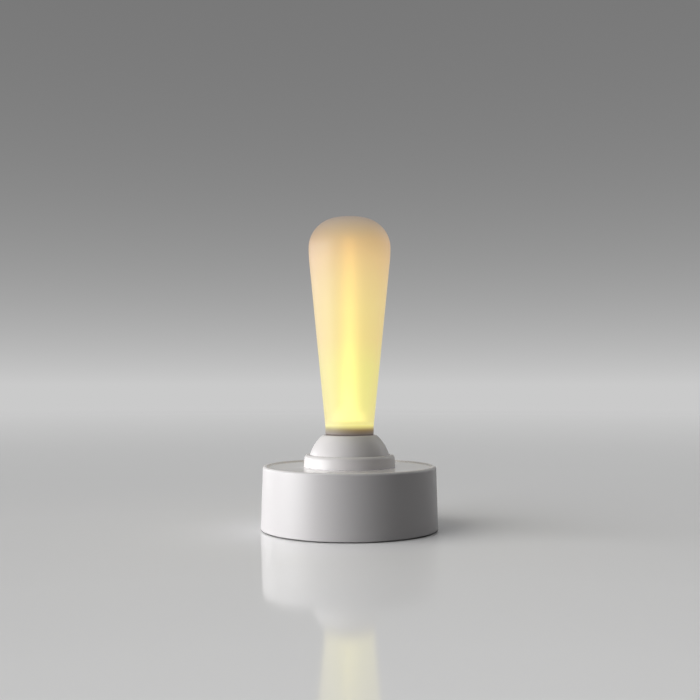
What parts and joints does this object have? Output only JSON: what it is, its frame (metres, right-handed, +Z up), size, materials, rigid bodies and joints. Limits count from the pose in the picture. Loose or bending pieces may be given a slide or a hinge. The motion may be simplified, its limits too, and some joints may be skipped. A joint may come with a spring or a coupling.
{
  "type": "night light",
  "caption": "Joystick-shaped table night light: a round base with a ball joint that carries a glowing tapered silicone stick, which tilts to switch it.",
  "frame": {"origin": "on the table, under the middle of the round base", "axes": "+Z up along the upright stick, front towards -Y"},
  "size_m": [0.0748, 0.0748, 0.1326],
  "materials": {
    "shell_white": "satin",
    "cover_white": "matte",
    "silicone_lit": "satin",
    "inner_nylon": "satin",
    "screw_steel": "satin",
    "pin_steel": "polished",
    "contact_metal": "satin",
    "cell_wrap": "gloss",
    "foot_rubber": "matte",
    "board_green": "satin",
    "led_board_white": "satin",
    "led_lit": "gloss",
    "guide_lit": "gloss",
    "component_black": "satin",
    "button_grey": "matte",
    "wire_red": "satin",
    "wire_black": "satin"
  },
  "bodies": {
    "base": {"base_housing": "shell_white", "base_cover": "cover_white", "cover_screws": "screw_steel", "rubber_feet": "foot_rubber", "battery_cell_1": "cell_wrap", "battery_cell_2": "cell_wrap", "battery_cell_3": "cell_wrap", "battery_springs": "contact_metal", "contact_plates_left": "contact_metal", "contact_plates_right": "contact_metal", "battery_lead_black": "wire_black", "battery_lead_red": "wire_red", "main_board": "board_green", "board_screws": "screw_steel", "switch_bodies": "component_black", "board_components": "component_black", "led_connector": "inner_nylon", "collar_ring": "shell_white", "pivot_post": "inner_nylon", "post_screws": "screw_steel", "centring_spring": "pin_steel", "led_wire_black": "wire_black", "led_wire_red": "wire_red"},
    "gimbal": {"gimbal_hub": "inner_nylon", "sideways_pins": "pin_steel", "fore_aft_pin": "pin_steel"},
    "stick": {"ball_dome": "shell_white", "stick_yoke": "inner_nylon", "stick_screws": "screw_steel", "led_holder": "inner_nylon", "led_board": "led_board_white", "led_chips": "led_lit", "light_guide": "guide_lit", "silicone_shade": "silicone_lit"},
    "door": {"battery_door": "cover_white", "door_screws": "screw_steel"},
    "button_right": {"switch_button_right": "button_grey"},
    "button_back": {"switch_button_back": "button_grey"},
    "button_left": {"switch_button_left": "button_grey"},
    "button_front": {"switch_button_front": "button_grey"}
  },
  "joints": [
    {"name": "rock_sideways", "type": "hinge", "parent": "base", "child": "gimbal", "pos_m": [0, 0, 0.02633], "axis": [0, 1, 0], "range_deg": [-15, 15], "stiffness_Nm_per_rad": 0.1, "deforming": ["centring_spring", "led_wire_black", "led_wire_red"]},
    {"name": "rock_fore_aft", "type": "hinge", "parent": "gimbal", "child": "stick", "pos_m": [0, 0, 0.02633], "axis": [1, 0, 0], "range_deg": [-15, 15], "stiffness_Nm_per_rad": 0.1},
    {"name": "press_right", "type": "slide", "parent": "base", "child": "button_right", "axis": [0, 0, -1], "range_m": [0, 0.00025], "stiffness_N_per_m": 6400},
    {"name": "press_back", "type": "slide", "parent": "base", "child": "button_back", "axis": [0, 0, -1], "range_m": [0, 0.00025], "stiffness_N_per_m": 6400},
    {"name": "press_left", "type": "slide", "parent": "base", "child": "button_left", "axis": [0, 0, -1], "range_m": [0, 0.00025], "stiffness_N_per_m": 6400},
    {"name": "press_front", "type": "slide", "parent": "base", "child": "button_front", "axis": [0, 0, -1], "range_m": [0, 0.00025], "stiffness_N_per_m": 6400},
    {"name": "lift_off_door", "type": "slide", "parent": "base", "child": "door", "axis": [0, 0, -1], "range_m": [0, 0.016]}
  ]
}
